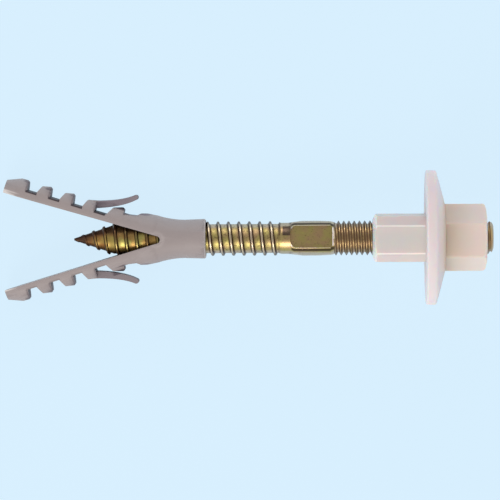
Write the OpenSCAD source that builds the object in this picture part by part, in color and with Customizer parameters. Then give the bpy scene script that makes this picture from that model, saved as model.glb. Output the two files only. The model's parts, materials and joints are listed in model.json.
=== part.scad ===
// Wash basin fixing: an expansion plug, a hanger bolt and a flanged collar nut.
// Each piece is drawn along X, the anchor's axis. X = 0 is the plug's mouth, the nut is
// towards +X and the plug's legs spread in the XY plane. lay() then puts all of it down
// the way it comes to rest, on the rim of the flange and the noses of the two legs.

/* [Hanger bolt] */
// Outer diameter of the machine thread
machine_d = 9.9; // [8:0.05:12]
// Core diameter of the machine thread
machine_root_d = 8.2; // [7:0.05:9]
// Distance from crest to crest of the machine thread
machine_pitch = 1.5; // [1.25:0.05:2]
// Overall length of the bolt, point to end
bolt_len = 120; // [108:1:160]
// How far the bolt's point reaches in past the plug's mouth
screw_in = 37.8; // [30:0.1:46]
// Crest diameter of the wood thread
wood_crest_d = 9.85; // [8.6:0.05:10.1]
// Core diameter of the wood thread
wood_root_d = 8.3; // [7:0.05:8.6]
// Distance from crest to crest of the wood thread
wood_pitch = 3; // [2.4:0.1:4]
// Diameter of the rolled shank beside the wood thread
shank_d = 8.9; // [7.8:0.05:9.2]
// Length of the wood thread with its point
wood_len = 59.4; // [50:0.1:66]
// Length of the tapered point
point_len = 11.5; // [8:0.1:14]
// Length of the plain shank between the wood thread and the spanner flats
shank_len = 2.4; // [1:0.1:6]
// Length of the squeezed stretch that holds the spanner flats
flats_len = 12.4; // [8:0.1:16]
// Width of that stretch across its bulged sides
bulge_d = 9.95; // [9.3:0.05:10.8]
// Distance across the two spanner flats
flats_across = 7.6; // [6:0.05:8.2]
// Length of the bevel at the machine end
end_bevel = 2; // [1:0.05:2.6]
// How far the bolt is turned in the plug
bolt_turn = -9.4; // [-180:0.1:180]

/* [Expansion plug] */
// Outer diameter of the plug
plug_d = 11.35; // [11.1:0.05:13]
// Distance from the mouth to where the halves begin to bend apart
straight_len = 5.6; // [4:0.1:8]
// Radius of the bend, along the middle of a half
bend_r = 32; // [24:1:44]
// Angle that each leg leans away from the axis
spread = 17; // [12:0.5:20]
// Half width of the rounded end of the slot between the legs
slot_r = 1.07; // [0.6:0.01:1.6]
// Length of a leg, from the end of the bend to its nose
leg_len = 44.7; // [42:0.1:52]
// Height of the leg's back over its flat inner face, at the root
leg_root_r = 4.9; // [4.6:0.05:5]
// The same height at the nose
leg_nose_r = 4.5; // [4:0.05:5]
// How much thicker the leg on the +Y side is at its nose, where the slot runs off the middle
slot_drift = 0.85; // [0:0.05:1.2]
// Distance from tooth to tooth
tooth_pitch = 6.8; // [6.4:0.1:7.4]
// Height of the notch floors over the inner face
notch_floor = 1.65; // [1.2:0.05:2.4]
// Width of the locking tongue
tongue_w = 4.6; // [3:0.1:6]
// Thickness of the tongue at its root
tongue_root_th = 2.1; // [1.2:0.1:2.2]
// Thickness of the tongue at its tip
tongue_tip_th = 1.4; // [0.8:0.1:1.8]
// Bevel round the plug's mouth
mouth_bevel = 0.35; // [0.1:0.05:0.45]
// Clearance of the plug's hole round the thread's crests
bore_clearance = 0.08; // [0.03:0.01:0.1]

/* [Collar nut] */
// Diameter of the flange
flange_d = 38.5; // [30:0.1:46]
// Thickness of the flange's rim
rim_th = 3.2; // [2:0.1:5]
// How much the flange rises from its rim to the head
flange_rise = 2.3; // [1:0.1:4]
// Width of the sleeve across its flat sides
sleeve_across = 13.2; // [12.6:0.1:16]
// Width of each flat side of the sleeve
sleeve_flat = 8; // [5:0.1:9]
// Length of the sleeve in front of the flange
sleeve_len = 15.2; // [10:0.1:20]
// Spanner size of the head
head_across = 16.9; // [15:0.1:19]
// Diameter that the head's corners are turned down to
head_corner_d = 19.25; // [17:0.05:21]
// Length of the nut from the flange's seat to its outer end
head_reach = 17.5; // [13:0.1:24]
// Distance from the end of the spanner flats to the nut
nut_gap = 11.3; // [2:0.1:24]
// How far the nut is turned
nut_turn = 2.8; // [-180:0.1:180]
// Clearance of the nut's hole round the machine thread
nut_clearance = 0.06; // [0.02:0.01:0.1]

/* [Hidden] */
$fn = 96;
// How far a cutter runs past what it cuts
past = 1;
// Length of the neck between the spanner flats and the machine thread
neck_len = 0.5;

// Stations of the bolt along the axis
point_x = -screw_in;
wood_end_x = point_x + wood_len;
flats_x = wood_end_x + shank_len;
flats_end_x = flats_x + flats_len;
machine_x = flats_end_x + neck_len;
bolt_end_x = point_x + bolt_len;
// Radius of the blunt point
point_r = 0.3;
// How much the end bevel takes off the radius, then the length and drop of the worn edge there
end_drop = 0.65;
end_edge = 0.5;
end_edge_drop = 1;
// The ridges of the machine thread: half of their width at the foot and at the crest. The last
// crest is half a pitch from the end.
machine_foot = machine_pitch * 3 / 8;
machine_crest = machine_pitch / 16;
machine_count = floor((bolt_end_x - machine_x - machine_foot) / machine_pitch - 0.5);
// The ridges of the wood thread: half of their width at the foot and at the crest, how far the
// last crest is from the shank, and the least distance of the first crest from the point
ridge_foot = 0.75;
ridge_crest = 0.15;
ridge_end = 2.6;
ridge_start = 2;
wood_count = floor((wood_len - ridge_end - ridge_start) / wood_pitch);
// How long the core takes to rise to the shank
wood_fade = 0.8;
// Shape of the bulge: [share of its length, share of its height over the shank]
bulge_shape = [
    [0, 0], [0.1, 0], [0.21, 0.46], [0.29, 0.84], [0.36, 1], [0.58, 1], [0.74, 0.74],
    [0.86, 0.5], [1, 0.3]
];
// Radius of the round end of a spanner flat, and how far the flat stops short of the bulge
flat_round_r = 3.2;
flat_inset = 0.2;

// The plug's two halves
plug_r = plug_d / 2;
bore_r = wood_crest_d / 2 + bore_clearance;
bend_end_x = -straight_len - bend_r * sin(spread);
bend_end_y = bend_r * (1 - cos(spread));
slot_apex_x = bend_end_x + bend_end_y / tan(spread);
slot_round_x = slot_apex_x - slot_r / sin(spread);
slot_steps = 7;
// The bend is thinner than the mouth. The straight part and the leg end a little proud of it
// and taper into it over the lap.
bend_thin = 0.2;
bend_proud = 0.04;
lap = 1.5;
lap_drop = 0.25;
bend_end_r = plug_r - bend_thin + bend_proud;
// The shoulder where the root steps down to the toothed stretch, along a leg, with its foot
shoulder_x = 3.3;
shoulder_r = 5.2;
shoulder_end_x = 5.2;
shoulder_drop = 0.3;
shoulder_foot = 1;
shoulder_foot_rise = 0.4;
// The bevelled nose of a leg
nose_len = 4;
nose_end_r = 2.9;

// The row of teeth: the steep side of each tooth faces the mouth
tooth_count = 4;
first_tooth_s = 18;
tooth_top = 4.65;
tooth_crest = 2.85;
tooth_heel = 4;
tooth_slope = 3.9;
tooth_foot = 0.25;
tooth_round = 0.6;
// How far the cut of a notch reaches over into the next notch, above the teeth
notch_lap = 0.6;
// The lower tooth under the tongue, and the notch between it and the shoulder
inner_tooth_s = 9.9;
inner_tooth_crest = 3.4;
inner_tooth_slope = 4.7;
inner_heel = 3.9;
inner_floor = 3.3;
inner_floor_s = 8.4;
window_floor = 1.6;

// The tongue springs from the last tooth and curls away from the leg
tongue_root_s = 19;
tongue_root_t = 3.25;
tongue_mid_s = 12.4;
tongue_mid_t = 5.75;
tongue_tip_s = 7.9;
tongue_tip_t = 8.65;
tongue_steps = 8;

// Stations of the nut along the axis
sleeve_x = flats_end_x + nut_gap;
seat_x = sleeve_x + sleeve_len;
rim_end_x = seat_x + rim_th;
cone_end_x = rim_end_x + flange_rise;
nut_end_x = seat_x + head_reach;
flange_r = flange_d / 2;
nut_bore_r = machine_d / 2 + nut_clearance;
// Rounding of the rim, and the bevels at the two ends of the nut
rim_round = 0.5;
rim_outer_round = 1;
sleeve_bevel = 1.4;
sleeve_bevel_drop = 1.35;
head_bevel = 1;
head_end_r = 5.4;

// How the whole anchor lies: the rim of the flange and the noses of the legs touch down
nose_s = leg_len - nose_len;
nose_x = bend_end_x - nose_s * cos(spread);
lay_angle = atan((flange_r - leg_nose_r) / (seat_x + rim_round - nose_x));
lay_height = flange_r * cos(lay_angle) - (seat_x + rim_round) * sin(lay_angle);
low_end_x = (bend_end_x - leg_len * cos(spread)) * cos(lay_angle) - nose_end_r * sin(lay_angle);
high_end_x = bolt_end_x * cos(lay_angle) + (machine_d / 2 - end_drop - end_edge_drop) * sin(lay_angle);
lay_middle = (low_end_x + high_end_x) / 2;

module lay() {
    translate([-lay_middle, 0, lay_height]) rotate([0, -lay_angle, 0]) children();
}

// Turns a profile of [distance along the axis, radius] points about the X axis
module turned(profile) {
    rotate([0, 90, 0]) rotate_extrude() polygon([for (p = profile) [p[1], p[0]]]);
}

// Stretches an outline drawn in the XY plane to both sides of that plane
module plate(width) {
    translate([0, 0, -width / 2]) linear_extrude(width) children();
}

// Moves what is drawn along -X into the place of the leg on the +Y side
module on_leg() {
    translate([bend_end_x, bend_end_y, 0]) rotate([0, 0, -spread]) children();
}

module tooth_notches() {
    height = plug_r + past;
    for (i = [1 : tooth_count - 1]) {
        left = first_tooth_s + i * tooth_pitch;
        right = left - tooth_pitch;
        on_leg() plate(plug_d + past) polygon([
            [-left - tooth_round, height],
            [-left - tooth_round, tooth_top],
            [-left, tooth_top - tooth_round],
            [-left + tooth_foot, notch_floor],
            [-right - tooth_slope, notch_floor],
            [-right - tooth_crest, tooth_heel],
            [-right, tooth_top],
            [-right + notch_lap, tooth_top],
            [-right + notch_lap, height]
        ]);
    }
    on_leg() plate(plug_d + past) polygon([
        [-first_tooth_s, height],
        [-first_tooth_s, window_floor],
        [-inner_tooth_s - inner_tooth_slope, window_floor],
        [-inner_tooth_s - inner_tooth_crest, inner_heel],
        [-inner_tooth_s - tooth_round, leg_root_r],
        [-inner_tooth_s, leg_root_r - tooth_round],
        [-inner_tooth_s, inner_floor],
        [-inner_floor_s, inner_floor],
        [-shoulder_end_x - shoulder_foot, inner_floor + shoulder_foot_rise],
        [-shoulder_end_x, leg_root_r - shoulder_drop],
        [-shoulder_x, shoulder_r],
        [-shoulder_x, height]
    ]);
}

// Point u of the way along the tongue's middle line, on a curve through its three stations
function tongue_line(u) =
    (1 - u) * (1 - 2 * u) * [-tongue_root_s, tongue_root_t]
    + 4 * u * (1 - u) * [-tongue_mid_s, tongue_mid_t]
    + u * (2 * u - 1) * [-tongue_tip_s, tongue_tip_t];
function tongue_half(u) = (tongue_root_th + u * (tongue_tip_th - tongue_root_th)) / 2;
function tongue_normal(u) =
    let (d = tongue_line(u + 0.01) - tongue_line(u - 0.01)) [-d[1], d[0]] / norm(d);
function tongue_side(u, side) = tongue_line(u) + side * tongue_half(u) * tongue_normal(u);

module tongue() {
    steps = [for (i = [0 : tongue_steps]) i / tongue_steps];
    under = [for (u = steps) tongue_side(u, -1)];
    over = [for (i = [tongue_steps : -1 : 0]) tongue_side(steps[i], 1)];
    on_leg() plate(tongue_w) {
        polygon(concat(under, over));
        translate(tongue_line(1)) circle(r = tongue_half(1));
    }
}

// One half of the plug, on the +Y side of the axis. Its turned parts start their turn on the
// far side, which is cut away, so no seam lies along a cut.
module plug_half() {
    difference() {
        union() {
            rotate([-90, 0, 0]) turned([
                [-straight_len - lap, 0],
                [-straight_len - lap, bend_end_r - lap_drop],
                [-straight_len, bend_end_r],
                [-mouth_bevel, plug_r],
                [0, plug_r - mouth_bevel],
                [0, 0]
            ]);
            translate([-straight_len, bend_r, 0]) rotate([0, 0, -90 - spread])
                rotate_extrude(angle = spread) translate([bend_r, 0])
                    circle(r = plug_r - bend_thin);
            on_leg() rotate([-90, 0, 0]) turned([
                [-leg_len, 0],
                [-leg_len, nose_end_r],
                [-nose_s, leg_nose_r],
                [-shoulder_end_x, leg_root_r],
                [-shoulder_x, shoulder_r],
                [0, bend_end_r],
                [lap, bend_end_r - lap_drop],
                [lap, 0]
            ]);
        }
        // what lies beyond the middle plane belongs to the other half
        translate([-2 * leg_len, -2 * leg_len, -leg_len]) cube([3 * leg_len, 2 * leg_len, 2 * leg_len]);
        tooth_notches();
    }
    tongue();
}

// The slot that the driven bolt has opened between the legs
module slot() {
    far_x = bend_end_x - (leg_len + past) * cos(spread);
    far_y = bend_end_y + (leg_len + past) * sin(spread);
    round_end = [
        for (i = [-slot_steps : slot_steps])
            let (a = (90 - spread) * i / slot_steps)
                [slot_round_x + slot_r * cos(a), slot_r * sin(a)]
    ];
    plate(plug_d + 2 * past) polygon(concat(round_end, [[far_x, far_y - slot_drift], [far_x, -far_y]]));
}

module expansion_plug() {
    color("darkgray") lay() difference() {
        union() {
            plug_half();
            mirror([0, 1, 0]) plug_half();
        }
        slot();
        // the hole, opened by the thread as far as the bolt's point
        turned([
            [point_x - bore_clearance, 0],
            [point_x, point_r + bore_clearance],
            [point_x + point_len, bore_r],
            [past, bore_r],
            [past, 0]
        ]);
    }
}

module flat_cutter() {
    depth = bulge_d;
    left = flats_x + flat_inset;
    translate([0, 0, flats_across / 2]) linear_extrude(depth) {
        translate([left + flat_round_r, 0]) circle(r = flat_round_r);
        translate([left + flat_round_r, -bulge_d / 2])
            square([flats_len - 2 * flat_inset - flat_round_r, bulge_d]);
    }
}

// Radius of the wood thread's crests and of its core at station x: the point is a cone
function crest_r(x) = point_r + (wood_crest_d / 2 - point_r) * min(1, (x - point_x) / point_len);
function root_r(x) = crest_r(x) * wood_root_d / wood_crest_d;

// One ridge of each thread. Each turn of a thread is drawn as a ring, at the true pitch.
function wood_ridge(x) = [
    [x - ridge_foot, root_r(x - ridge_foot)],
    [x - ridge_crest, crest_r(x - ridge_crest)],
    [x + ridge_crest, crest_r(x + ridge_crest)],
    [x + ridge_foot, root_r(x + ridge_foot)]
];
// Outline of the machine end: [station, radius]
machine_outline = [
    [bolt_end_x - end_bevel, machine_d / 2],
    [bolt_end_x - end_edge, machine_d / 2 - end_drop],
    [bolt_end_x, machine_d / 2 - end_drop - end_edge_drop]
];
function machine_root_r(x) = min(machine_root_d / 2, lookup(x, machine_outline));
function machine_ridge(x) = [
    [x - machine_foot, machine_root_r(x - machine_foot)],
    [x - machine_crest, lookup(x - machine_crest, machine_outline)],
    [x + machine_crest, lookup(x + machine_crest, machine_outline)],
    [x + machine_foot, machine_root_r(x + machine_foot)]
];

module hanger_bolt() {
    color("goldenrod") lay() rotate([bolt_turn, 0, 0]) difference() {
        turned([
            [point_x, 0],
            [point_x, root_r(point_x)],
            for (i = [wood_count : -1 : 0])
                each wood_ridge(wood_end_x - ridge_end - i * wood_pitch),
            [wood_end_x - wood_fade, wood_root_d / 2],
            [wood_end_x, shank_d / 2],
            for (p = bulge_shape)
                [flats_x + p[0] * flats_len, (shank_d + p[1] * (bulge_d - shank_d)) / 2],
            for (i = [machine_count : -1 : 0])
                each machine_ridge(bolt_end_x - (i + 0.5) * machine_pitch),
            machine_outline[2],
            [bolt_end_x, 0]
        ]);
        flat_cutter();
        mirror([0, 0, 1]) flat_cutter();
    }
}

// Outline of the sleeve: a square whose corners are cut back to leave its flat sides
module sleeve_outline() {
    side = sleeve_across / 2;
    flat = sleeve_flat / 2;
    polygon([
        [side, -flat], [side, flat], [flat, side], [-flat, side],
        [-side, flat], [-side, -flat], [-flat, -side], [flat, -side]
    ]);
}

module collar_nut() {
    side = sleeve_across / 2;
    corner = side + sleeve_bevel_drop;
    color("white") lay() rotate([nut_turn, 0, 0]) difference() {
        union() {
            intersection() {
                translate([sleeve_x, 0, 0]) rotate([0, 90, 0])
                    linear_extrude(sleeve_len + rim_th / 2) sleeve_outline();
                turned([
                    [sleeve_x, 0],
                    [sleeve_x, side - sleeve_bevel_drop],
                    [sleeve_x + sleeve_bevel, corner],
                    [seat_x + rim_th, corner],
                    [seat_x + rim_th, 0]
                ]);
            }
            rotate([0, 90, 0]) rotate_extrude() {
                polygon([
                    [0, seat_x],
                    [flange_r - rim_round, seat_x],
                    [flange_r, seat_x + rim_round],
                    [flange_r, rim_end_x - rim_outer_round],
                    [flange_r - rim_outer_round, rim_end_x],
                    [head_corner_d / 2, cone_end_x],
                    [0, cone_end_x]
                ]);
                translate([flange_r - rim_round, seat_x + rim_round]) circle(r = rim_round);
                translate([flange_r - rim_outer_round, rim_end_x - rim_outer_round])
                    circle(r = rim_outer_round);
            }
            intersection() {
                translate([seat_x + rim_th / 2, 0, 0]) rotate([0, 90, 0])
                    linear_extrude(nut_end_x - seat_x)
                        rotate(30) circle(d = head_across / cos(30), $fn = 6);
                turned([
                    [seat_x, 0],
                    [seat_x, head_corner_d / 2],
                    [nut_end_x - head_bevel, head_corner_d / 2],
                    [nut_end_x, head_end_r],
                    [nut_end_x, 0]
                ]);
            }
        }
        turned([
            [sleeve_x - past, 0],
            [sleeve_x - past, nut_bore_r],
            [nut_end_x + past, nut_bore_r],
            [nut_end_x + past, 0]
        ]);
    }
}

expansion_plug();
hanger_bolt();
collar_nut();
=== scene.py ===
"""Looks of a wash basin fixing: an expansion plug, a hanger bolt and a flanged collar nut.

Pieces are drawn in millimetres along X, the anchor's axis, with X = 0 at the plug's mouth
and the nut towards +X. lay_down() then puts a finished piece where the frame has it.
"""

import json
import math

import bmesh
import bpy
from bpy.props import FloatProperty, FloatVectorProperty, IntProperty, PointerProperty
from mathutils import Matrix, Vector


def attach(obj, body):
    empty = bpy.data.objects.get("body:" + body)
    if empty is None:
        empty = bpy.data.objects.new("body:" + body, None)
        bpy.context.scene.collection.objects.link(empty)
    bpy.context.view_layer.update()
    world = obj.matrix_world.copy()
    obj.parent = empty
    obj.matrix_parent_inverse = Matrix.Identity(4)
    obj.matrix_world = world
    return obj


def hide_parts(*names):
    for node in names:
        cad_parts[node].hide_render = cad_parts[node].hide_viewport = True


bl_info = {
    "name": "Wash Basin Fixing",
    "version": (1, 0, 0),
    "blender": (4, 5, 0),
    "location": "View3D > Sidebar > Fixing",
    "description": "Models the plug, the bolt and the collar nut of a wash basin fixing",
    "category": "Object",
}

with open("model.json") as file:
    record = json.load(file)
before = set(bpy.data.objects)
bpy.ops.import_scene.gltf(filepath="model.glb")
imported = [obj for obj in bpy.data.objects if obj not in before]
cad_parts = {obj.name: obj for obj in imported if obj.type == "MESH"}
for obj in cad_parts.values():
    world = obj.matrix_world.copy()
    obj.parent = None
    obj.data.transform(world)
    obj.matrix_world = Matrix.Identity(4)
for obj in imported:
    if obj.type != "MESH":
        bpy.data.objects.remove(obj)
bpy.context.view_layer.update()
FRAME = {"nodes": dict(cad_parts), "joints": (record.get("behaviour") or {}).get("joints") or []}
MM = 0.001

# The anchor's axis in the frame, from the joint on which the bolt turns
TURN = next(j for j in FRAME["joints"] if j["name"] == "bolt_turn")
AXIS = Vector(TURN["axis"]).normalized()
TILT = math.atan2(AXIS.z, AXIS.x)
LAY = Matrix.Translation(TURN["pos_m"]) @ Matrix.Rotation(-TILT, 4, "Y")

# Stations of the bolt along the axis
POINT_X = -37.8
POINT_LEN = 11.5
WOOD_END_X = 21.6
FLATS_X = 24.0
FLATS_LEN = 12.4
FLATS_END_X = FLATS_X + FLATS_LEN
MACHINE_X = FLATS_END_X + 0.5
BOLT_END_X = 82.2
BOLT_TURN = math.radians(-9.4)

# The legs of the plug leave the mouth on a bend, and meet at the round end of a slot
SPREAD = math.radians(17)
STRAIGHT_LEN = 5.6
BEND_R = 32.0
BEND_END_X = -STRAIGHT_LEN - BEND_R * math.sin(SPREAD)
BEND_END_Y = BEND_R * (1 - math.cos(SPREAD))
SLOT_ROUND_X = -14.0
# The foot of one notch between the teeth and the end of the last tooth, along a leg
NOTCH_FOOT = 21.6
TOOTH_PITCH = 6.8
LAST_TOOTH = 39.2

# Stations of the nut
SLEEVE_X = 47.7
SEAT_X = 62.9
NUT_END_X = 80.4
NUT_TURN = math.radians(2.8)

# How far a blank or a cutter runs past what it shapes, and stands clear of a face that it leaves
PAST = 1.0
CLEAR = 0.02
# Points of a finished piece that lie closer than this are one
SAME_POINT = 0.003


# ---------------------------------------------------------------- modelling by hand


def add(name, operator, **settings):
    """Adds a primitive at its size and place, with nothing else selected, and names it."""
    bpy.ops.object.select_all(action="DESELECT")
    operator(**settings)
    bpy.ops.object.transform_apply()
    piece = bpy.context.active_object
    piece.name = piece.data.name = name
    return piece


def only(piece):
    """Makes a piece the only one selected."""
    bpy.ops.object.select_all(action="DESELECT")
    piece.select_set(True)
    bpy.context.view_layer.objects.active = piece


def edit(piece, mode="VERT"):
    """Opens a piece in edit mode with nothing selected."""
    only(piece)
    bpy.ops.object.mode_set(mode="EDIT")
    bpy.ops.mesh.select_mode(type=mode)
    bpy.ops.mesh.select_all(action="DESELECT")


def edit_all(piece):
    """Opens a piece in edit mode with everything selected."""
    edit(piece)
    bpy.ops.mesh.select_all(action="SELECT")


def close():
    """Leaves edit mode."""
    bpy.ops.object.mode_set(mode="OBJECT")


def pick(piece, layer, test):
    """Selects the vertices, edges or faces that pass a test, in edit mode."""
    mesh = bmesh.from_edit_mesh(piece.data)
    for element in getattr(mesh, layer):
        element.select_set(bool(test(element)))
    mesh.select_flush_mode()
    bmesh.update_edit_mesh(piece.data)


def modify(piece, kind, **settings):
    """Adds a modifier and applies it."""
    only(piece)
    modifier = piece.modifiers.new(kind, kind)
    for key, value in settings.items():
        setattr(modifier, key, value)
    bpy.ops.object.modifier_apply(modifier=modifier.name)


def combine(piece, other, operation):
    """Joins, cuts or intersects a piece with another one, which is used up."""
    modify(piece, "BOOLEAN", operation=operation, solver="EXACT", object=other)
    bpy.data.meshes.remove(other.data)


def shift(piece, distance):
    """Moves the mesh of a piece along the axis."""
    edit_all(piece)
    bpy.ops.transform.translate(value=(distance, 0, 0))
    close()


def wire(name, points):
    """Draws a polyline of (x, radius) points from one vertex, extruded from point to point."""
    piece = add(name, bpy.ops.mesh.primitive_plane_add, size=1)
    edit_all(piece)
    bpy.ops.mesh.merge(type="CENTER")
    here = Vector((0, 0, 0))
    for i, (x, radius) in enumerate(points):
        step = Vector((x, 0, radius)) - here
        if i == 0:
            bpy.ops.transform.translate(value=step)
        else:
            bpy.ops.mesh.extrude_vertices_move(TRANSFORM_OT_translate={"value": step})
        here += step
    close()
    return piece


def arc(x, height, radius, start, end, steps=6):
    """Points on an arc round (x, height), from angle to angle in degrees."""
    angles = (math.radians(start + (end - start) * i / steps) for i in range(steps + 1))
    return [(x + radius * math.cos(a), height + radius * math.sin(a)) for a in angles]


def turned(name, points, steps=96):
    """Turns a profile that starts and ends on the axis into a closed solid."""
    piece = wire(name, points)
    edit_all(piece)
    bpy.ops.mesh.spin(steps=steps, angle=2 * math.pi, center=(0, 0, 0), axis=(1, 0, 0))
    bpy.ops.mesh.select_all(action="SELECT")
    bpy.ops.mesh.remove_doubles(threshold=0.001)
    bpy.ops.mesh.normals_make_consistent(inside=False)
    close()
    return piece


def ridge(pitch, core, side):
    """One pitch of a thread's outline. side lists (half width, radius) from foot to crest."""
    half = pitch / 2
    rise = [(half - width, radius) for width, radius in side]
    fall = [(half + width, radius) for width, radius in reversed(side)]
    return [(0, core), *rise, *fall, (pitch, core)]


def threaded(name, outline, pitch, start, end, phase, steps):
    """Winds one pitch of a thread's outline into a rod that is cut square at both ends.
    phase moves the whole thread along the axis."""
    rounds = math.ceil((end - start) / pitch) + 2
    first = start - 2 * pitch + phase % pitch
    piece = wire(name, [(first + x, radius) for x, radius in outline])
    modify(
        piece, "SCREW", axis="X", angle=2 * math.pi, screw_offset=pitch, iterations=rounds + 1,
        steps=steps, render_steps=steps, use_merge_vertices=True, merge_threshold=0.001,
    )
    edit_all(piece)
    bpy.ops.mesh.remove_doubles(threshold=0.001)
    for x, side in ((start, -1), (end, 1)):
        bpy.ops.mesh.select_all(action="SELECT")
        bpy.ops.mesh.bisect(
            plane_co=(x, 0, 0), plane_no=(side, 0, 0), use_fill=True, clear_outer=True
        )
    bpy.ops.mesh.select_all(action="SELECT")
    bpy.ops.mesh.normals_make_consistent(inside=False)
    close()
    return piece


def bevelled(piece, width, segments=2, angle=30):
    """Rounds the edges of a solid that are sharper than an angle."""
    modify(
        piece, "BEVEL", width=width, segments=segments, limit_method="ANGLE",
        angle_limit=math.radians(angle), use_clamp_overlap=True, miter_outer="MITER_ARC",
    )


def merged(piece, distance):
    """Merges the points of a piece that are closer than a distance."""
    edit_all(piece)
    bpy.ops.mesh.remove_doubles(threshold=distance)
    bpy.ops.mesh.dissolve_degenerate(threshold=distance / 2)
    close()


def lay_down(piece, turn, body, node, material):
    """Turns a finished piece about the axis, lays it in the frame and has it replace its node."""
    merged(piece, SAME_POINT)
    piece.matrix_world = LAY @ Matrix.Rotation(turn, 4, "X") @ Matrix.Scale(MM, 4)
    only(piece)
    bpy.ops.object.transform_apply(location=True, rotation=True, scale=True)
    bpy.ops.object.shade_smooth_by_angle(angle=math.radians(28))
    piece.name = piece.data.name = node + "_dressed"
    piece.data.materials.clear()
    piece.data.materials.append(material)
    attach(piece, body)
    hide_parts(node)


# ---------------------------------------------------------------- materials


class Value:
    """An output of a node. Python's operators on it add Math nodes."""

    def __init__(self, nodes, socket):
        self.nodes, self.socket = nodes, socket

    def math(self, operation, *others):
        """Adds a Math node for this value and the others."""
        return self.nodes.node("Math", {"operation": operation}, dict(enumerate((self, *others))))

    def __add__(self, other):
        return self.math("ADD", other)

    def __sub__(self, other):
        return self.math("SUBTRACT", other)

    def __mul__(self, other):
        return self.math("MULTIPLY", other)

    def __truediv__(self, other):
        return self.math("DIVIDE", other)

    def __rsub__(self, other):
        return self.nodes.node("Math", {"operation": "SUBTRACT"}, {0: other, 1: self})

    __radd__ = __add__
    __rmul__ = __mul__


class Nodes:
    """A node tree that is written as expressions."""

    def __init__(self, tree):
        self.tree = tree
        self.tree.nodes.clear()

    def node(self, kind, settings=None, inputs=None, output=0):
        """Adds a node: settings first, then the values or links of its sockets."""
        made = self.tree.nodes.new("ShaderNode" + kind)
        for key, value in (settings or {}).items():
            setattr(made, key, value)
        for key, value in (inputs or {}).items():
            if isinstance(value, Value):
                self.tree.links.new(value.socket, made.inputs[key])
            else:
                made.inputs[key].default_value = value
        return Value(self, made.outputs[output]) if made.outputs else None

    def step(self, value, low, high):
        """0 below low, 1 above high, and smooth between them."""
        return self.node(
            "MapRange", {"interpolation_type": "SMOOTHSTEP"},
            {"Value": value, "From Min": low, "From Max": high},
        )

    def below(self, value, low, high):
        """1 below low, 0 above high, and smooth between them."""
        return 1 - self.step(value, low, high)

    def band(self, value, rise, fall):
        """1 between two smooth edges, each a pair of low and high, and 0 outside them."""
        return self.step(value, *rise) * self.below(value, *fall)

    def mix(self, factor, one, other):
        """Mixes two colours."""
        ends = {
            key: colour if isinstance(colour, Value) else (*colour, 1)
            for key, colour in ((6, one), (7, other))
        }
        return self.node("Mix", {"data_type": "RGBA"}, {0: factor, **ends}, 2)


class Surface(Nodes):
    """One material, seen in the anchor's own frame, in millimetres."""

    def __init__(self, name):
        self.material = bpy.data.materials.new(name)
        self.material.use_nodes = True
        super().__init__(self.material.node_tree)
        self.place = self.node(
            "Mapping",
            {"vector_type": "TEXTURE"},
            {
                "Vector": self.node("TexCoord", output="Object"),
                "Location": LAY.translation,
                "Rotation": LAY.to_euler(),
                "Scale": (MM, MM, MM),
            },
        )
        self.x, self.y, self.z = (
            self.node("SeparateXYZ", inputs={"Vector": self.place}, output=axis) for axis in "XYZ"
        )
        self.radius = (self.y * self.y + self.z * self.z).math("SQRT")

    def facing(self, axis):
        """How far the surface faces along an axis of the anchor, from -1 to 1."""
        normal = self.node("TexCoord", output="Normal")
        return self.node(
            "VectorMath", {"operation": "DOT_PRODUCT"},
            {0: normal, 1: LAY.to_3x3().normalized() @ Vector(axis)}, "Value",
        )

    def noise(self, scale, detail=3):
        """Noise from 0 to 1, with scale in cycles a millimetre."""
        return self.node(
            "TexNoise", inputs={"Vector": self.place, "Scale": scale, "Detail": detail}
        )

    def bump(self, height, distance, strength):
        """Height from 0 to 1 as a bump, with distance in millimetres."""
        return self.node(
            "Bump", inputs={"Height": height, "Distance": distance * MM, "Strength": strength}
        )

    def shade(self, **inputs):
        """Ends the material in a Principled shader."""
        sockets = {key.replace("_", " "): value for key, value in inputs.items()}
        shader = self.node("BsdfPrincipled", inputs=sockets)
        self.node("OutputMaterial", inputs={"Surface": shader})
        return self.material


def srgb(red, green, blue):
    """A colour picked on a screen, from 0 to 255, as the linear colour of a shader."""
    def linear(c):
        c /= 255
        return c / 12.92 if c <= 0.04045 else ((c + 0.055) / 1.055) ** 2.4
    return tuple(linear(c) for c in (red, green, blue))


def tinted(colour, share):
    """A colour made lighter or darker."""
    return tuple(c * share for c in colour)


# Specks, stretch marks and tone, and the colours of painted shade and painted highlights, on the plug,
# the nut and the bolt
PLUG_SPECKS = srgb(120, 108, 108)
PLUG_LIT = srgb(186, 178, 177)
PLUG_NOTCH_SHADOW = srgb(48, 36, 42)
PLUG_EDGE_HIGHLIGHT = srgb(216, 206, 200)
PLUG_STRETCHED = srgb(190, 180, 176)
NUT_SHADED = srgb(236, 222, 190)
NUT_CORNER_SHADE = srgb(196, 178, 176)
NUT_EDGE_HIGHLIGHT = srgb(250, 236, 232)
NUT_CLOUD = srgb(226, 206, 192)
FLAT_RIM_HIGHLIGHT = srgb(250, 236, 226)
FLAT_RIM_SHADE = srgb(52, 40, 34)
NECK_SHADE = srgb(76, 62, 58)
BROWN_PATCH = srgb(150, 100, 58)
BROWN_TIP = srgb(160, 104, 60)


# In the functions below, s is the material's surface and base is its colour so far.


def leg_frame(s):
    """Distances along a leg of the plug from the bend, and out from its flat inner face."""
    across, up = s.x - BEND_END_X, s.y.math("ABSOLUTE") - BEND_END_Y
    along = up * math.sin(SPREAD) - across * math.cos(SPREAD)
    out = across * math.sin(SPREAD) + up * math.cos(SPREAD)
    return along, out


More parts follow.
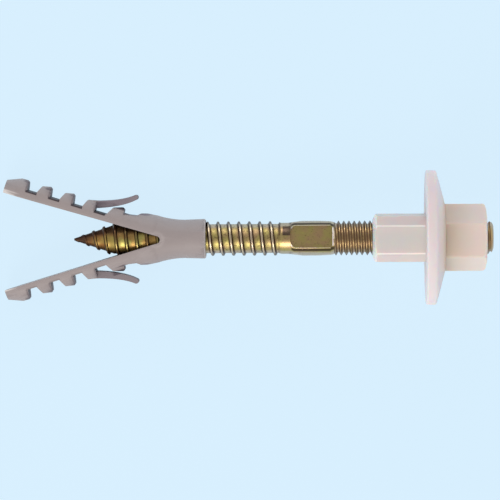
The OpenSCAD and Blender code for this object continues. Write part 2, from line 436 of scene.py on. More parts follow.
def leg_shade(s, base, colours):
    """Painted shade on the tongues and in the notches between the teeth."""
    along, out = leg_frame(s)
    upright = s.facing((0, 0, 1)).math("ABSOLUTE")
    upper = s.step(s.y, -1, 1)
    # a tongue has painted shade all over, stronger on the upper leg
    tongue = s.step(out, 1.9, 2.3) * s.step(along + out * 1.6, 9.8, 11.3)
    tongue = tongue * s.below(along, 17.7, 18.0) * s.below(s.z.math("ABSOLUTE"), 2.35, 2.5)
    base = s.mix(tongue * (0.65 + upper * 0.35), base, colours.plug_tongue_shade)
    # the walls and floors of the notches have painted shade
    toothed = s.step(out, 0.9, 1.3) * s.step(along, 4.5, 6.5)
    flank = s.step(s.facing((1, 0, 0)), 0.15, 0.5)
    notch_floor = s.below(upright, 0.45, 0.9) * s.below(out, 1.9, 2.3)
    walls = (flank * 0.65).math("MAXIMUM", notch_floor * 0.45)
    base = s.mix(walls * toothed, base, colours.plug_shade)
    # painted shadow at the foot of each notch, stronger on the upper leg, and painted shade on the
    # steep side of each tooth, once a tooth pitch
    turn = ((along - NOTCH_FOOT) / TOOTH_PITCH).math("FRACT")
    first = NOTCH_FOOT - TOOTH_PITCH
    row = s.band(along, (first - 0.6, first), (LAST_TOOTH, LAST_TOOTH + 0.3))
    foot = s.below(turn, 0.47, 0.51) * s.band(out, (1.1, 1.35), (1.8, 2.0))
    steep = s.band(turn, (0.44, 0.47), (0.50, 0.55)) * s.step(out, 1.5, 1.7)
    base = s.mix(foot * row * (0.25 + upper * 0.7), base, PLUG_NOTCH_SHADOW)
    base = s.mix(steep * row * 0.45, base, colours.plug_shade)
    # the crown of the tooth under a tongue lies in its shade
    crown = s.band(out, (3.9, 4.3), (5.2, 5.4)) * s.band(along, (9.3, 9.8), (13.2, 14))
    return s.mix(crown * (0.85 - upper * 0.5), base, colours.plug_shade)


def plug_highlights_and_stretch(s, base):
    """The edges of the slot and the mouth carry a painted highlight, and the slot's end is stretched
    pale.
    """
    along, out = leg_frame(s)
    upright = s.facing((0, 0, 1)).math("ABSOLUTE")
    edge = s.band(upright, (0.08, 0.3), (0.9, 0.99))
    # painted highlight along the edges of the slot, and fainter round the mouth
    highlit = edge * s.below(out, 0.1, 0.5) + s.step(s.x, -0.5, -0.25) * edge * 0.4
    place = s.x - SLOT_ROUND_X
    apex = (place * place + s.y * s.y).math("SQRT")
    stretched = s.band(apex, (1.2, 1.9), (1.9, 2.8))
    base = s.mix(highlit * 0.9, base, PLUG_EDGE_HIGHLIGHT)
    return s.mix(stretched * 0.22, base, PLUG_STRETCHED)


def plug_nylon(colours):
    """Grey moulded nylon, cloudy and finely grained, with painted light on the sides that face +Y, and
    painted shade and highlights on its legs and edges.
    """
    s = Surface("plug_nylon")
    cloud, grain = s.noise(0.12, 4), s.noise(3.2)
    base = s.mix(cloud, tinted(colours.plug, 0.93), tinted(colours.plug, 1.05))
    base = s.mix(grain * 0.12, base, PLUG_SPECKS)
    base = s.mix(s.step(s.facing((0, 1, 0)), 0.3, 0.9) * 0.25, base, PLUG_LIT)
    base = leg_shade(s, base, colours)
    base = plug_highlights_and_stretch(s, base)
    return s.shade(
        Base_Color=base, Roughness=0.46 + grain * 0.14, Specular_IOR_Level=0.4,
        Normal=s.bump(grain, 0.012, 0.6),
    )


def natural_nylon(colours):
    """White nylon, painted lighter where it is thin as light through it, and painted darker and warmer
    where it is thick round the bolt.
    """
    s = Surface("natural_nylon")
    cloud, grain = s.noise(0.10, 4), s.noise(2.4)
    # painted light: lighter where the nylon is thin, as light through it, and darker and warmer where
    # it is thick round the bolt, with painted shade of the flange at the head's root
    thin = s.step(s.radius, 8.5, 15.0)
    head = s.mix(s.step(s.x, SEAT_X + 5, NUT_END_X - 2), colours.nut_root_shade, colours.nut_head)
    thick = s.mix(s.step(s.x, SEAT_X - 1, SEAT_X + 3), colours.nut_sleeve, head)
    base = s.mix(thin, thick, colours.nut)
    # the head shades the cone of the flange beside it
    cone = s.band(s.x, (SEAT_X + 2.8, SEAT_X + 4.0), (SEAT_X + 5.4, SEAT_X + 5.6))
    cone = cone * s.below(s.y.math("ABSOLUTE"), 9.0, 9.5)
    base = s.mix(cone * 0.3, base, NUT_SHADED)
    # the sleeve's cut corners have a little painted shade, and its rounded edges a painted highlight
    sleeve = s.below(s.x, SEAT_X - 0.4, SEAT_X)
    aslant = s.facing((0, 1, 0)).math("ABSOLUTE")
    base = s.mix(s.step(aslant, 0.5, 0.62) * sleeve * 0.12, base, NUT_CORNER_SHADE)
    base = s.mix(s.band(aslant, (0.12, 0.25), (0.48, 0.6)) * sleeve * 0.8, base, NUT_EDGE_HIGHLIGHT)
    base = s.mix(s.step(cloud, 0.25, 0.75) * 0.25, base, NUT_CLOUD)
    return s.shade(
        Base_Color=base, Roughness=0.38 + grain * 0.12, Specular_IOR_Level=0.3,
        Subsurface_Weight=0.6, Subsurface_Scale=0.008,
        Normal=s.bump(grain, 0.010, 0.5),
    )


def thread_stains_and_shading(s, base, wood, inside, colours):
    """Both threads have painted shade in their hollows and where they turn away, and painted highlights
    on top; the wood thread's core is blotched.
    """
    along = s.facing((1, 0, 0)).math("ABSOLUTE")
    upright = s.facing((0, 0, 1)).math("ABSOLUTE")
    flats = s.band(s.x, (FLATS_X + 0.2, FLATS_X + 0.8), (MACHINE_X - 0.4, MACHINE_X))
    raised = s.step(s.radius, 4.17, 4.2)
    crest = s.step(s.radius, 4.62, 4.74)
    hollow = s.below(s.radius, 4.05, 4.6)
    # smooth metal has a painted highlight where it turns away, and the wood thread's core is blotched
    blotches = s.step(s.noise(1.2), 0.55, 0.62)
    base = s.mix(s.below(upright, 0.5, 0.72) * (1 - inside) * 0.6, base, colours.zinc_highlight)
    base = s.mix(wood * (1 - raised) * blotches * 0.45, base, colours.zinc_stain_and_shade)
    # painted shade in the hollows of the machine thread
    base = s.mix(hollow * (1 - wood) * 0.15, base, colours.zinc_stain_and_shade)
    # each side of a wood thread ridge has painted shade from its foot to near its crest, which has a
    # painted highlight
    base = s.mix(s.step(along, 0.08, 0.3) * (1 - crest) * wood * 0.95, base, colours.zinc_stain_and_shade)
    base = s.mix(wood * raised * crest * (0.6 - inside * 0.5), base, colours.zinc_highlight)
    # painted shade on the sides of the machine thread that face the point
    base = s.mix(s.step(s.facing((-1, 0, 0)), 0.2, 0.5) * (1 - wood) * 0.25, base, colours.zinc_stain_and_shade)
    # crests have painted shade where they turn away
    aside = s.below(upright, 0.3, 0.65) * s.step(s.radius, 4.4, 4.6)
    return s.mix(aside * (1 - flats) * 0.85, base, colours.zinc_stain_and_shade)


def flats_shading(s, base):
    """The rim of each flat has a painted highlight with painted shade beyond it, and the rolled neck
    has painted shade.
    """
    flats = s.band(s.x, (FLATS_X + 0.2, FLATS_X + 0.8), (MACHINE_X - 0.4, MACHINE_X))
    upright = s.facing((0, -math.sin(BOLT_TURN), math.cos(BOLT_TURN))).math("ABSOLUTE")
    # painted highlight on the rim of each flat, then painted shade just beyond it
    base = s.mix(s.band(upright, (0.74, 0.78), (0.95, 0.99)) * flats, base, FLAT_RIM_HIGHLIGHT)
    base = s.mix(s.band(upright, (0.52, 0.62), (0.70, 0.74)) * flats * 0.9, base, FLAT_RIM_SHADE)
    neck = s.band(s.x, (WOOD_END_X + 0.2, WOOD_END_X + 0.6), (FLATS_X, FLATS_X + 1))
    low = s.band(s.facing((0, 1, 0)), (0.18, 0.28), (0.76, 0.84))
    return s.mix(neck * low * 0.92, base, NECK_SHADE)


def point_tone_and_shade(s, base, wood, inside, cloud, colours):
    """Between the legs the zinc is yellower and patchy, with painted shade where it turns away towards
    them and on its ridges, and the end of the point is darker.
    """
    ridges = wood * s.step(s.radius, 4.17, 4.2)
    away = s.below(s.facing((0, -0.29, 0.957)).math("ABSOLUTE"), 0.55, 0.93)
    base = s.mix(inside * 0.6, base, colours.zinc_green)
    base = s.mix(inside * s.step(cloud, 0.45, 0.6) * 0.6, base, BROWN_PATCH)
    base = s.mix(s.below(s.x, -31, -22) * 0.5, base, BROWN_TIP)
    # painted shade where the zinc turns away towards the legs, and on the ridges between them
    base = s.mix(inside * away * 0.85, base, colours.zinc_stain_and_shade)
    base = s.mix(inside * ridges * 0.5, base, colours.zinc_stain_and_shade)
    return s.mix(s.below(s.x, POINT_X + 2, POINT_X + 8) * 0.95, base, colours.zinc_stain_and_shade)


def yellow_zinc(colours):
    """Yellow zinc on steel, in warm clouds and green patches, and browner on the machine thread."""
    s = Surface("yellow_zinc")
    cloud, grain = s.noise(0.35, 4), s.noise(5.0)
    wood = s.below(s.x, WOOD_END_X - 0.5, WOOD_END_X)
    inside = s.below(s.x, SLOT_ROUND_X, SLOT_ROUND_X + 3)
    base = s.mix(s.step(cloud, 0.35, 0.65), colours.zinc, colours.zinc_warm)
    base = s.mix(s.step(s.noise(0.9), 0.5, 0.8) * 0.5, base, colours.zinc_green)
    base = s.mix(s.step(s.x, MACHINE_X - 0.5, MACHINE_X) * 0.7, base, colours.zinc_brown)
    base = thread_stains_and_shading(s, base, wood, inside, colours)
    base = flats_shading(s, base)
    base = s.mix(s.below(s.noise(2.6), 0.30, 0.40) * 0.6, base, colours.zinc_stain_and_shade)
    base = point_tone_and_shade(s, base, wood, inside, cloud, colours)
    hollow = s.below(s.radius, 4.05, 4.6)
    return s.shade(
        Base_Color=base, Metallic=1.0, Roughness=0.26 + grain * 0.16 + hollow * 0.12,
        Normal=s.bump(grain, 0.006, 0.5),
    )


# ---------------------------------------------------------------- sizes and colours


class FixingSizes(bpy.types.PropertyGroup):
    """Sizes of the fixing's fine detail, in millimetres."""

    wood_pitch: FloatProperty(name="Wood thread pitch", description="Distance from ridge to ridge",
                              default=2.985, min=2, max=4)
    wood_crest: FloatProperty(name="Wood thread diameter", description="Across the ridges",
                              default=9.84, min=8, max=9.85)
    wood_root: FloatProperty(name="Wood thread core", description="Across the core",
                             default=8.3, min=6, max=9)
    machine_pitch: FloatProperty(name="Machine thread pitch",
                                 description="Distance from crest to crest",
                                 default=1.495, min=1, max=2)
    machine_crest: FloatProperty(name="Machine thread diameter", description="Across the crests",
                                 default=9.88, min=8, max=9.9)
    machine_root: FloatProperty(name="Machine thread core", description="Across the roots",
                                default=8.1, min=7, max=9)
    shank: FloatProperty(name="Shank diameter", description="Across the plain rolled shank",
                         default=8.9, min=8, max=9.2)
    bulge: FloatProperty(name="Bulge diameter", description="Across the squeezed stretch",
                         default=9.94, min=9, max=9.95)
    flats: FloatProperty(name="Across flats", description="Distance between the two flats",
                         default=7.6, min=6.5, max=8.2)
    flat_edge: FloatProperty(name="Flat edge", description="Rounding round the spanner flats",
                             default=0.32, min=0, max=0.4)
    plug_edge: FloatProperty(name="Plug edge", description="Rounding of the plug's edges",
                             default=0.36, min=0, max=0.4)
    nut_edge: FloatProperty(name="Nut edge", description="Rounding of the nut's edges",
                            default=0.30, min=0, max=0.5)
    thread_steps: IntProperty(name="Steps a turn", description="Faces in one turn of a thread",
                              default=64, min=24, max=128)


class FixingColours(bpy.types.PropertyGroup):
    """Colours of the fixing's materials and of the floor."""

    plug: FloatVectorProperty(name="Plug", description="Grey nylon of the plug", subtype="COLOR",
                              default=srgb(156, 144, 142), min=0, max=1)
    # painted shade on the tongues
    plug_tongue_shade: FloatVectorProperty(name="Tongues", description="Dull nylon of the tongues",
                                     subtype="COLOR", default=srgb(126, 115, 122), min=0, max=1)
    # painted shade on the walls of the notches, the steep sides of the teeth and the crowns under the
    # tongues
    plug_shade: FloatVectorProperty(name="Notches", description="Dirt on the walls of the notches",
                                   subtype="COLOR", default=srgb(84, 72, 80), min=0, max=1)
    # the nut's colours are copies of one nylon, painted lighter where it is thin as light through it
    # and darker where it is thick
    nut: FloatVectorProperty(name="Nut", description="Natural nylon of the thin flange",
                             subtype="COLOR", default=srgb(215, 211, 214), min=0, max=1)
    nut_sleeve: FloatVectorProperty(name="Sleeve", description="Natural nylon of the sleeve",
                                    subtype="COLOR", default=srgb(214, 202, 199), min=0, max=1)
    nut_head: FloatVectorProperty(name="Head", description="Natural nylon of the head",
                                  subtype="COLOR", default=srgb(222, 206, 198), min=0, max=1)
    # painted shade of the flange where the head meets it
    nut_root_shade: FloatVectorProperty(name="Root",
                                  description="Thick nylon where the head meets the flange",
                                  subtype="COLOR", default=srgb(206, 188, 172), min=0, max=1)
    zinc: FloatVectorProperty(name="Zinc", description="Yellow zinc", subtype="COLOR",
                              default=srgb(176, 161, 100), min=0, max=1)
    zinc_warm: FloatVectorProperty(name="Warm zinc", description="Warmer clouds of the zinc",
                                   subtype="COLOR", default=srgb(180, 150, 110), min=0, max=1)
    zinc_green: FloatVectorProperty(name="Green zinc", description="Greener patches of the zinc",
                                    subtype="COLOR", default=srgb(186, 178, 96), min=0, max=1)
    zinc_brown: FloatVectorProperty(name="Brown zinc", description="Browner zinc of the machine thread",
                                    subtype="COLOR", default=srgb(184, 154, 116), min=0, max=1)
    # painted highlight on the crests and where the metal turns away
    zinc_highlight: FloatVectorProperty(name="Pale zinc", description="Zinc rubbed pale", subtype="COLOR",
                                   default=srgb(216, 196, 178), min=0, max=1)
    # dark stains, and painted shade in the threads and between the legs
    zinc_stain_and_shade: FloatVectorProperty(name="Dark zinc", description="Zinc in the roots of the threads",
                                   subtype="COLOR", default=srgb(74, 52, 44), min=0, max=1)
    floor: FloatVectorProperty(name="Floor", description="Pale blue of the floor", subtype="COLOR",
                               default=srgb(216, 239, 254), min=0, max=1)


# ---------------------------------------------------------------- the hanger bolt


# How far the rods of the two threads and the middle of the bolt reach into one another
WOOD_LAP = 0.4
MACHINE_LAP = 0.6
MIDDLE_WOOD_LAP = 1.2
MIDDLE_MACHINE_LAP = 0.5
# A ridge of the wood thread: half of its width at its foot, over the fillet there, under its
# rounded crest and at its crest, the rise of the fillet and the drop of the rounding
WOOD_FOOT, WOOD_FILLET, WOOD_SHOULDER, WOOD_CREST = 0.72, 0.52, 0.24, 0.14
WOOD_FILLET_RISE = 0.07
WOOD_ROUND_DROP = 0.06
WOOD_PHASE = 1.66
# The cone on which the wood thread fades out: where it starts and ends, from the shank, and how
# far it ends over the core
FADE_START, FADE_END = -1.8, 0.2
FADE_RISE = 0.25
# How much of its width the point loses to its tip
POINT_TAPER = 0.93
# A ridge of the machine thread: half of its width at its crest, and the angle of its sides
MACHINE_CREST = 0.09
MACHINE_SIDE = math.radians(30)
MACHINE_PHASE = -0.2
# Its run-out beside the flats: distance from its start, rise over the core, then where it is full
RUN_OUT = ((-PAST, 0.3), (-0.5, 0.4))
RUN_OUT_END = 0.2
# The bevelled and worn end of the bolt: distance from the end, drop below the crests
BOLT_END = ((2.0, -CLEAR), (0.52, 0.65), (0.25, 1.0), (CLEAR, 1.65))
# Shape of the bulge from the side: share of its length, share of its height over the shank
BULGE = (
    (0, 0), (0.1, 0), (0.16, 0.2), (0.21, 0.46), (0.25, 0.66), (0.29, 0.84), (0.32, 0.94), (0.36, 1),
    (0.47, 1), (0.58, 1), (0.66, 0.9), (0.74, 0.74), (0.86, 0.5), (1, 0.3),
)
BULGE_ROUNDING = 0.7
# Its turned form: where it starts to rise over the shank, a bend on the rise with its height, and
# where it is full, then how far from its end it starts to fall, and its height there
RISE_START, RISE_BEND, RISE_END = -0.4, 0.4, 1.3
RISE_BEND_HEIGHT = 0.15
FALL_LEN = 0.7
FALL_END_HEIGHT = 0.2
NECK_R = 4.25
# A spanner flat: its width, how far it stops short of the bulge, and how round its corners are
# towards the wood thread and towards the machine thread
FLAT_WIDTH = 6.9
FLAT_INSET = 0.2
FLAT_CORNERS = (2.4, 1.1)
FLAT_CUTTER_HEIGHT = 10


class FIXING_OT_bolt(bpy.types.Operator):
    """Model the hanger bolt with its two threads and its spanner flats"""

    bl_idname = "fixing.bolt"
    bl_label = "Hanger Bolt"

    def execute(self, context):
        sizes, colours = context.scene.fixing_sizes, context.scene.fixing_colours
        piece = self.wood_end(sizes)
        combine(piece, self.middle(sizes), "UNION")
        combine(piece, self.machine_end(sizes), "UNION")
        lay_down(piece, BOLT_TURN, "bolt", "hanger_bolt", yellow_zinc(colours))
        return {"FINISHED"}

    def wood_end(self, sizes):
        """The wood thread, which fades out beside the shank, with its tapered point."""
        core, crest, end = sizes.wood_root / 2, sizes.wood_crest / 2, WOOD_END_X + WOOD_LAP
        outline = ridge(sizes.wood_pitch, core, [
            (WOOD_FOOT, core), (WOOD_FILLET, core + WOOD_FILLET_RISE),
            (WOOD_SHOULDER, crest - WOOD_ROUND_DROP), (WOOD_CREST, crest),
        ])
        piece = threaded("wood_thread", outline, sizes.wood_pitch, POINT_X, end, WOOD_PHASE,
                         sizes.thread_steps)
        combine(piece, turned("wood_blank", [
            (POINT_X - PAST, 0), (POINT_X - PAST, crest + PAST),
            (WOOD_END_X + FADE_START, crest + PAST), (WOOD_END_X + FADE_START, crest + CLEAR),
            (WOOD_END_X + FADE_END, core + FADE_RISE), (WOOD_END_X + PAST, core + FADE_RISE),
            (WOOD_END_X + PAST, 0),
        ]), "INTERSECT")
        # the taper narrows what lies before the origin
        shift(piece, -POINT_X - POINT_LEN)
        modify(piece, "SIMPLE_DEFORM", deform_method="TAPER", deform_axis="X",
               factor=POINT_TAPER, limits=(0, POINT_LEN / (end - POINT_X)))
        shift(piece, POINT_X + POINT_LEN)
        return piece

    def middle(self, sizes):
        """The rolled shank and the squeezed stretch with its two spanner flats."""
        core, shank, bulge = sizes.wood_root / 2, sizes.shank / 2, sizes.bulge / 2
        left, right = WOOD_END_X - MIDDLE_WOOD_LAP, MACHINE_X + MIDDLE_MACHINE_LAP
        piece = turned("middle", [
            (left, 0), (left, core - CLEAR), (left + 0.3, core), (WOOD_END_X, shank),
            (FLATS_X + RISE_START, shank), (FLATS_X + RISE_BEND, shank + RISE_BEND_HEIGHT),
            (FLATS_X + RISE_END, bulge), (FLATS_END_X - FALL_LEN, bulge),
            (FLATS_END_X, shank + FALL_END_HEIGHT), (right, NECK_R), (right, 0),
        ])
        combine(piece, self.bulge_plate(left, right, shank, bulge), "INTERSECT")
        bevelled(piece, BULGE_ROUNDING, 4, 24)
        for side in (1, -1):
            combine(piece, self.flat_cutter(side, sizes), "DIFFERENCE")
        bevelled(piece, sizes.flat_edge, 3, 24)
        return piece

    def bulge_plate(self, left, right, shank, bulge):
        """A plate with the outline that the squeezed metal shows from the side of the flats."""
        shape = [(FLATS_X + x * FLATS_LEN, shank + r * (bulge - shank)) for x, r in BULGE]
        outline = [(left - PAST, shank), *shape, (right + PAST, shank)]
        plate = wire("plate", outline + [(x, -r) for x, r in reversed(outline)])
        edit_all(plate)
        bpy.ops.mesh.edge_face_add()
        bpy.ops.mesh.extrude_region_move(
            TRANSFORM_OT_translate={"value": (0, 2 * (bulge + PAST), 0)}
        )
        bpy.ops.mesh.select_all(action="SELECT")
        bpy.ops.transform.translate(value=(0, -bulge - PAST, 0))
        bpy.ops.transform.rotate(value=math.pi / 2, orient_axis="X", center_override=(0, 0, 0))
        bpy.ops.mesh.normals_make_consistent()
        close()
        return plate

    def flat_cutter(self, side, sizes):
        """A block as wide as a flat, with rounded corners."""
        left, right = FLATS_X + FLAT_INSET, FLATS_END_X - FLAT_INSET
        height = side * (sizes.flats + FLAT_CUTTER_HEIGHT) / 2
        cutter = add("flat_cutter", bpy.ops.mesh.primitive_cube_add, size=1,
                     location=((left + right) / 2, 0, height),
                     scale=(right - left, FLAT_WIDTH, FLAT_CUTTER_HEIGHT))
        for end, rounding in zip((left, right), FLAT_CORNERS):
            edit(cutter, "EDGE")
            pick(cutter, "edges", lambda e: all(abs(v.co.x - end) < 1e-4 for v in e.verts)
                 and abs(e.verts[0].co.y - e.verts[1].co.y) < 1e-4)
            bpy.ops.mesh.bevel(offset=rounding, segments=10)
            close()
        return cutter

    def machine_end(self, sizes):
        """The machine thread, with its run-out and its bevelled end."""
        core, crest = sizes.machine_root / 2, sizes.machine_crest / 2
        flank = (crest - core) * math.tan(MACHINE_SIDE)
        outline = ridge(sizes.machine_pitch, core, [
            (MACHINE_CREST + flank, core + CLEAR), (MACHINE_CREST, crest),
        ])
        piece = threaded("machine_thread", outline, sizes.machine_pitch, MACHINE_X - MACHINE_LAP,
                         BOLT_END_X, MACHINE_PHASE, sizes.thread_steps)
        start = [(MACHINE_X + x, core + rise) for x, rise in RUN_OUT]
        end = [(BOLT_END_X - back, crest - drop) for back, drop in BOLT_END]
        combine(piece, turned("machine_blank", [
            (MACHINE_X - PAST, 0), *start, (MACHINE_X + RUN_OUT_END, crest + CLEAR), *end,
            (BOLT_END_X - CLEAR, 0),
        ]), "INTERSECT")
        return piece


# ---------------------------------------------------------------- the collar nut


# The sleeve: its width across its sides, how far its corners are cut back, and its end bevel
SLEEVE_WIDTH = 13.2
SLEEVE_CORNER = 2.6
SLEEVE_BEVEL = 1.4
SLEEVE_END_R, SLEEVE_CORNER_R = 5.3, 8.0
BORE_R = 5.01
# The flange: its radius, the rounding of its rim at the seat and on the outer side, the start of
# the outer rounding, the angle at which it meets the cone, and the end of the cone
RIM_R = 19.24
RIM_SEAT_ROUND, RIM_OUTER_ROUND = 0.5, 1.0
RIM_OUTER_X = 2.2
CONE_ANGLE = 18
CONE_END_X = 5.5
# The head: its width across flats, the radius that its corners are turned down to, and how far
# it and the sleeve reach into the flange
HEAD_WIDTH = 16.9
HEAD_CORNER_R = 9.625
HEAD_LAP = 1.6
# The rounded end of the head: distance from the end, radius
HEAD_END = ((1.1, HEAD_CORNER_R), (0.65, 9.25), (0.3, 8.4), (0.1, 7.2), (0, 5.4))
# A face that is larger than this, in square millimetres, is a flat side
SIDE_AREA = 20
# Points closer than this, where the nut's parts meet, are merged before its edges are rounded
NUT_SAME_POINT = 0.03


class FIXING_OT_nut(bpy.types.Operator):
    """Model the flanged collar nut with its sleeve and its six-sided head"""

    bl_idname = "fixing.nut"
    bl_label = "Collar Nut"

    def execute(self, context):
        sizes, colours = context.scene.fixing_sizes, context.scene.fixing_colours
        piece = self.sleeve(sizes)
        combine(piece, self.flange(), "UNION")
        combine(piece, self.head(), "UNION")
        combine(piece, turned("bore", [
            (SLEEVE_X - PAST, 0), (SLEEVE_X - PAST, BORE_R), (NUT_END_X + PAST, BORE_R),
            (NUT_END_X + PAST, 0),
        ]), "DIFFERENCE")
        merged(piece, NUT_SAME_POINT)
        bevelled(piece, sizes.nut_edge, 2, 24)
        lay_down(piece, NUT_TURN, "nut", "collar_nut", natural_nylon(colours))
        self.flat_sides(piece)
        return {"FINISHED"}

    def flat_sides(self, piece):
        """Keeps the shading of the rounded edges off the wide flat sides."""
        edit(piece, "FACE")
        pick(piece, "faces", lambda f: f.calc_area() > SIDE_AREA * MM * MM)
        bpy.ops.mesh.faces_shade_flat()
        close()

    def sleeve(self, sizes):
        """A square bar with its corners cut back, rounded edges and a bevelled end."""
        length = SEAT_X + HEAD_LAP - SLEEVE_X
        piece = add("sleeve", bpy.ops.mesh.primitive_cube_add, size=1,
                    location=(SLEEVE_X + length / 2, 0, 0),
                    scale=(length, SLEEVE_WIDTH, SLEEVE_WIDTH))
        for width, steps in ((SLEEVE_CORNER, 1), (sizes.nut_edge, 2)):
            edit(piece, "EDGE")
            pick(piece, "edges", lambda e: abs(e.verts[0].co.x - e.verts[1].co.x) > 1)
            bpy.ops.mesh.bevel(offset=width, segments=steps)
            close()
        end = SEAT_X + 2 * HEAD_LAP
        combine(piece, turned("sleeve_blank", [
            (SLEEVE_X, 0), (SLEEVE_X, SLEEVE_END_R), (SLEEVE_X + SLEEVE_BEVEL, SLEEVE_CORNER_R),
            (end, SLEEVE_CORNER_R), (end, 0),
        ]), "INTERSECT")
        return piece

    def flange(self):
        """A round plate with a rounded rim, whose outer side rises as a cone to the head."""
        seat_round, outer_round = RIM_SEAT_ROUND, RIM_OUTER_ROUND
        return turned("flange", [
            (SEAT_X, 0),
            *arc(SEAT_X + seat_round, RIM_R - seat_round, seat_round, 180, 90),
            *arc(SEAT_X + RIM_OUTER_X, RIM_R - outer_round, outer_round, 90, CONE_ANGLE),
            (SEAT_X + CONE_END_X, HEAD_CORNER_R), (SEAT_X + CONE_END_X, 0),
        ], 144)

    def head(self):
        """A hexagon bar with its corners turned down and its end rounded over."""
        length = NUT_END_X - SEAT_X - HEAD_LAP
        piece = add("head", bpy.ops.mesh.primitive_cylinder_add, vertices=6,
                    radius=HEAD_WIDTH / 2 / math.cos(math.radians(30)), depth=length,
                    location=(SEAT_X + HEAD_LAP + length / 2, 0, 0), rotation=(0, math.pi / 2, 0))
        combine(piece, turned("head_blank", [
            (SEAT_X, 0), (SEAT_X, HEAD_CORNER_R),
            *((NUT_END_X - back, radius) for back, radius in HEAD_END), (NUT_END_X, 0),
        ]), "INTERSECT")
        return piece


# ---------------------------------------------------------------- the expansion plug


class FIXING_OT_plug(bpy.types.Operator):
    """Finish the expansion plug with rounded moulded edges"""

    bl_idname = "fixing.plug"
    bl_label = "Expansion Plug"

    def execute(self, context):
        sizes, colours = context.scene.fixing_sizes, context.scene.fixing_colours
        node = FRAME["nodes"]["expansion_plug"]
        piece = bpy.data.objects.new("plug", node.data.copy())
        context.scene.collection.objects.link(piece)
        piece.data.transform(Matrix.Scale(1 / MM, 4) @ LAY.inverted())
        edit_all(piece)
        bpy.ops.mesh.remove_doubles(threshold=0.002)
        bpy.ops.mesh.dissolve_limited(angle_limit=math.radians(0.8))
        close()
        bevelled(piece, sizes.plug_edge, 2, 28)
        lay_down(piece, 0, "plug", "expansion_plug", plug_nylon(colours))
        return {"FINISHED"}


# ---------------------------------------------------------------- the stage


FLOOR_SIZE = 6
# Share of its own colour in what the camera sees of the floor: the rest takes light and shadow
FLOOR_GLOW = 0.94
# Light of the room overhead, and what is added at its sides and at the ends of the anchor
ROOM_LIGHT, SIDE_LIGHT, END_LIGHT = 0.35, 0.5, 0.9
ROOM_COLOUR = (0.95, 0.97, 1.0, 1)
# Each lamp: name, place in millimetres, diameter in metres, power in watts and colour
LAMPS = (
    ("key", (-150, -500, 490), 0.34, 2.35, (1.0, 0.96, 0.89)),
    ("fill", (40, 630, 290), 0.30, 0.95, (1.0, 0.97, 0.94)),
)
LAMP_AIM = (12, 0, 0)
# The camera: its place, what it looks at, its roll, and the width that it sees there
CAMERA_PLACE = (36.4, 44.0, 930.0)
CAMERA_AIM = (12.6, -3.3, 0.0)
CAMERA_ROLL = math.radians(0.38)
VIEW_WIDTH = 143.3
SENSOR_WIDTH = 36


def in_frame(place):
    """A place beside the anchor, given in millimetres, in the frame."""
    return LAY @ (Vector(place) * MM)


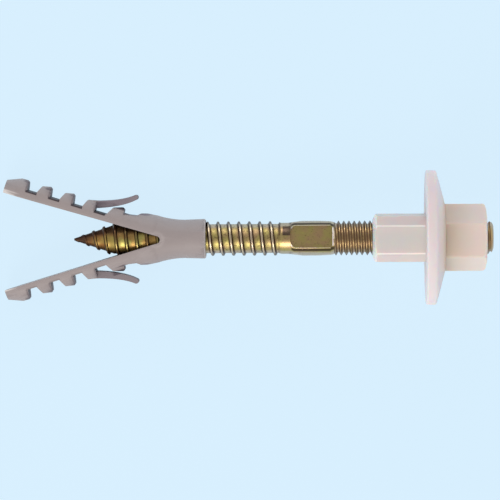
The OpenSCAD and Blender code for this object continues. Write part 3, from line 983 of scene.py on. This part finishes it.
class FIXING_OT_stage(bpy.types.Operator):
    """Set up the pale floor, the soft lights and the camera"""

    bl_idname = "fixing.stage"
    bl_label = "Stage"

    def execute(self, context):
        self.floor(context.scene.fixing_colours)
        self.world(context.scene)
        self.lights(context.scene)
        self.camera(context.scene)
        context.scene.view_settings.view_transform = "Standard"
        return {"FINISHED"}

    def floor(self, colours):
        """A floor that shows its own colour, in reflections too, and keeps the shadow."""
        floor = add("floor", bpy.ops.mesh.primitive_plane_add, size=FLOOR_SIZE)
        s = Surface("floor")
        colour = (*colours.floor, 1)
        seen = s.node("LightPath", output="Is Camera Ray").math(
            "MAXIMUM", s.node("LightPath", output="Is Glossy Ray")
        )
        plain = s.node("BsdfDiffuse", inputs={"Color": colour})
        glow = s.node("Emission", inputs={"Color": colour, "Strength": 1.0})
        both = s.node("MixShader", inputs={0: seen * FLOOR_GLOW, 1: plain, 2: glow})
        s.node("OutputMaterial", inputs={"Surface": both})
        floor.data.materials.append(s.material)

    def world(self, scene):
        """A room that is dim overhead, brighter at its sides and brightest in line with the anchor."""
        world = bpy.data.worlds.new("studio")
        world.use_nodes = True
        room = Nodes(world.node_tree)
        way = {"Vector": room.node("TexCoord", output="Generated")}
        side = room.node("SeparateXYZ", inputs=way, output="Y")
        end = room.node("SeparateXYZ", inputs=way, output="X")
        light = ROOM_LIGHT + side * side * SIDE_LIGHT + end * end * END_LIGHT
        sky = room.node("Background", inputs={"Color": ROOM_COLOUR, "Strength": light})
        room.node("OutputWorld", inputs={"Surface": sky})
        scene.world = world

    def lights(self, scene):
        """Two round lamps that face the middle of the anchor."""
        for name, place, size, power, colour in LAMPS:
            data = bpy.data.lights.new(name, "AREA")
            data.shape, data.size, data.energy, data.color = "DISK", size, power, colour
            lamp = bpy.data.objects.new(name, data)
            scene.collection.objects.link(lamp)
            lamp.location = in_frame(place)
            way = in_frame(LAMP_AIM) - lamp.location
            lamp.rotation_euler = way.to_track_quat("-Z", "Y").to_euler()

    def camera(self, scene):
        """A camera that looks down on the anchor from far above it."""
        data = bpy.data.cameras.new("camera")
        camera = bpy.data.objects.new("camera", data)
        scene.collection.objects.link(camera)
        place, aim = in_frame(CAMERA_PLACE), in_frame(CAMERA_AIM)
        back = (place - aim).normalized()
        up = LAY.to_3x3() @ Vector((math.sin(CAMERA_ROLL), math.cos(CAMERA_ROLL), 0))
        right = up.cross(back).normalized()
        axes = Matrix((right, back.cross(right), back)).transposed()
        camera.matrix_world = Matrix.Translation(place) @ axes.to_4x4()
        data.sensor_width = SENSOR_WIDTH
        data.lens = SENSOR_WIDTH * (place - aim).length / (VIEW_WIDTH * MM)
        data.clip_start, data.clip_end = 0.05, 20
        scene.camera = camera


# ---------------------------------------------------------------- the add-on


class FIXING_PT_panel(bpy.types.Panel):
    """Lists the pieces of the fixing in the sidebar"""

    bl_idname = "FIXING_PT_panel"
    bl_label = "Wash Basin Fixing"
    bl_space_type = "VIEW_3D"
    bl_region_type = "UI"
    bl_category = "Fixing"

    def draw(self, context):
        for operator in OPERATORS:
            self.layout.operator(operator.bl_idname)
        for group in (context.scene.fixing_sizes, context.scene.fixing_colours):
            for name in group.__annotations__:
                self.layout.prop(group, name)


OPERATORS = (FIXING_OT_stage, FIXING_OT_plug, FIXING_OT_bolt, FIXING_OT_nut)
CLASSES = (FixingSizes, FixingColours, *OPERATORS, FIXING_PT_panel)


def register():
    """Registers the classes and hangs the sizes and colours on the scene."""
    for cls in CLASSES:
        bpy.utils.register_class(cls)
    bpy.types.Scene.fixing_sizes = PointerProperty(type=FixingSizes)
    bpy.types.Scene.fixing_colours = PointerProperty(type=FixingColours)


def unregister():
    """Takes away what register() adds."""
    del bpy.types.Scene.fixing_colours
    del bpy.types.Scene.fixing_sizes
    for cls in reversed(CLASSES):
        bpy.utils.unregister_class(cls)


def main():
    """Makes every piece."""
    register()
    for operator in OPERATORS:
        group, name = operator.bl_idname.split(".")
        getattr(getattr(bpy.ops, group), name)()


if __name__ == "__main__":
    main()
